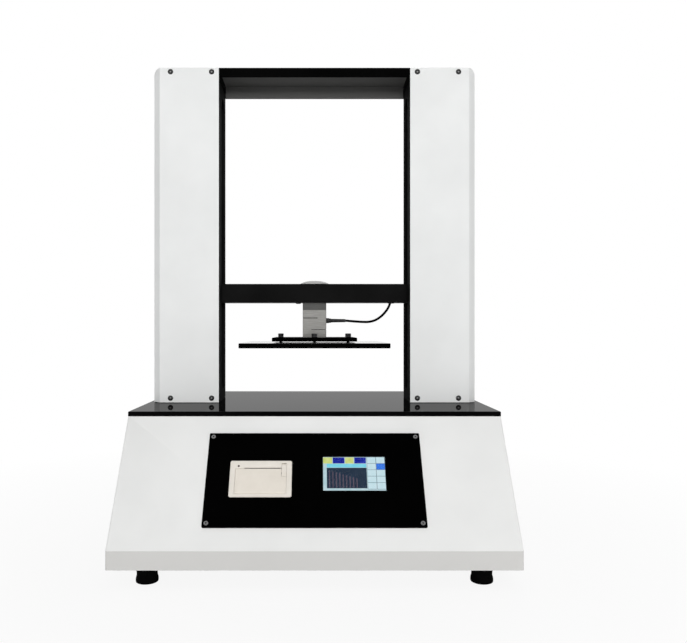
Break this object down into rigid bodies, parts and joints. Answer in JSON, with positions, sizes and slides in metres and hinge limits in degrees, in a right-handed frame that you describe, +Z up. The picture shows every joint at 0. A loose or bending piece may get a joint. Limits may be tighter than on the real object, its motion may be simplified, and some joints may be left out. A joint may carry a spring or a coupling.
{
  "type": "paper tube compression tester",
  "caption": "Two-column bench compression tester: white base with sloped touch panel and small printer, deck plate, and a crosshead with load cell and levelled platen.",
  "frame": {"origin": "on the table, under the middle of the base", "axes": "+X to the operator's right, +Y to the rear, +Z up; the operator stands at -Y"},
  "size_m": [0.6, 0.497, 0.8414],
  "materials": {
    "white_paint": "fine satin",
    "black_paint": "satin",
    "deck_black": "high gloss",
    "panel_black": "satin",
    "foot_rubber": "matt",
    "belt_rubber": "matt",
    "cable_black": "semi-matt",
    "steel": "brushed",
    "dark_steel": "blackened",
    "chromed_rod": "polished",
    "bronze": "turned",
    "aluminium": "machined",
    "cap_plastic": "gloss",
    "printer_plastic": "fine texture",
    "black_plastic": "fine texture",
    "roller_rubber": "matt",
    "lamp_red": "gloss",
    "touch_glass": "gloss",
    "thermal_paper": "smooth",
    "port_steel": "plated"
  },
  "bodies": {
    "frame_and_base": {"base_housing": "white_paint", "base_pan": "black_paint", "rear_panel": "white_paint", "rear_panel_screws": "steel", "rubber_feet": "foot_rubber", "deck_plate": "deck_black", "lower_crossbeam": "black_paint", "frame_side_plates": "black_paint", "control_panel": "panel_black", "control_panel_screws": "steel", "touch_screen_module": "black_plastic", "touch_screen_glass": "touch_glass", "printer_frame": "printer_plastic", "print_head": "black_plastic", "printer_pins": "steel", "printer_status_lamp": "lamp_red", "column_cover_left": "white_paint", "column_cover_right": "white_paint", "column_channel_left": "black_paint", "column_channel_right": "black_paint", "column_cover_screws": "steel", "guide_rods": "chromed_rod", "upper_bearing_blocks": "black_paint", "lower_bearing_housings": "aluminium", "screw_bearings": "steel", "top_beam": "black_paint", "drive_motor": "aluminium", "motor_bracket": "black_paint", "screw_belt": "belt_rubber", "motor_belt": "belt_rubber", "power_supply": "aluminium", "motor_drive": "aluminium", "power_inlet": "black_plastic", "data_port": "port_steel"},
    "crosshead_assembly": {"crosshead": "black_paint", "crosshead_screw": "dark_steel", "crosshead_cap": "cap_plastic", "screw_nuts": "bronze", "guide_bushes": "bronze", "load_cell_adapter": "dark_steel", "load_cell": "steel", "load_cell_bolts": "steel", "cable_gland": "cable_black", "load_cell_cable": "cable_black", "cable_grommet": "cable_black", "flange_plate": "black_paint", "levelling_bolts": "dark_steel", "levelling_lock_nuts": "dark_steel", "upper_platen": "black_paint"},
    "left_screw": {"lead_screw_left": "steel", "screw_pulley_left": "aluminium"},
    "right_screw": {"lead_screw_right": "steel", "screw_pulley_right": "aluminium"},
    "motor_rotor": {"motor_shaft": "steel", "motor_pulley": "aluminium"},
    "printer_door": {"printer_door": "printer_plastic"},
    "printer_roller": {"printer_roller": "roller_rubber"},
    "printer_latch": {"printer_latch": "printer_plastic"},
    "paper_roll": {"paper_roll": "thermal_paper"},
    "power_rocker": {"power_rocker": "black_plastic"}
  },
  "joints": [
    {"name": "crosshead_lift", "type": "slide", "parent": "frame_and_base", "child": "crosshead_assembly", "axis": [0, 0, 1], "range_m": [-0.09, 0.32]},
    {"name": "left_screw_turn", "type": "hinge", "parent": "frame_and_base", "child": "left_screw", "pos_m": [-0.204, 0.071, 0.45], "axis": [0, 0, 1], "range_deg": [-11580, 3300]},
    {"name": "right_screw_turn", "type": "hinge", "parent": "frame_and_base", "child": "right_screw", "pos_m": [0.204, 0.071, 0.45], "axis": [0, 0, 1], "range_deg": [-11580, 3300]},
    {"name": "motor_turn", "type": "hinge", "parent": "frame_and_base", "child": "motor_rotor", "pos_m": [0.11, 0.165, 0.14], "axis": [0, 0, 1], "range_deg": [-23160, 6600]},
    {"name": "printer_door_hinge", "type": "hinge", "parent": "frame_and_base", "child": "printer_door", "pos_m": [-0.0816, -0.20086, 0.12528], "axis": [1, 0, 0], "range_deg": [0, 90]},
    {"name": "printer_roller_turn", "type": "hinge", "parent": "printer_door", "child": "printer_roller", "pos_m": [-0.0801, -0.17718, 0.14985], "axis": [1, 0, 0], "continuous": true},
    {"name": "printer_latch_hinge", "type": "hinge", "parent": "frame_and_base", "child": "printer_latch", "pos_m": [-0.04635, -0.17574, 0.16103], "axis": [-1, 0, 0], "range_deg": [0, 40]},
    {"name": "paper_roll_turn", "type": "hinge", "parent": "frame_and_base", "child": "paper_roll", "pos_m": [-0.0801, -0.17323, 0.12384], "axis": [1, 0, 0], "continuous": true},
    {"name": "power_rocker_tilt", "type": "hinge", "parent": "frame_and_base", "child": "power_rocker", "pos_m": [-0.215, 0.242, 0.123], "axis": [0, 0, 1], "range_deg": [-14, 0]}
  ],
  "couplings": [
    {"joint": "left_screw_turn", "follows": "crosshead_lift", "rad_per_m": -628.32},
    {"joint": "right_screw_turn", "follows": "crosshead_lift", "rad_per_m": -628.32},
    {"joint": "motor_turn", "follows": "crosshead_lift", "rad_per_m": -1256.6}
  ]
}
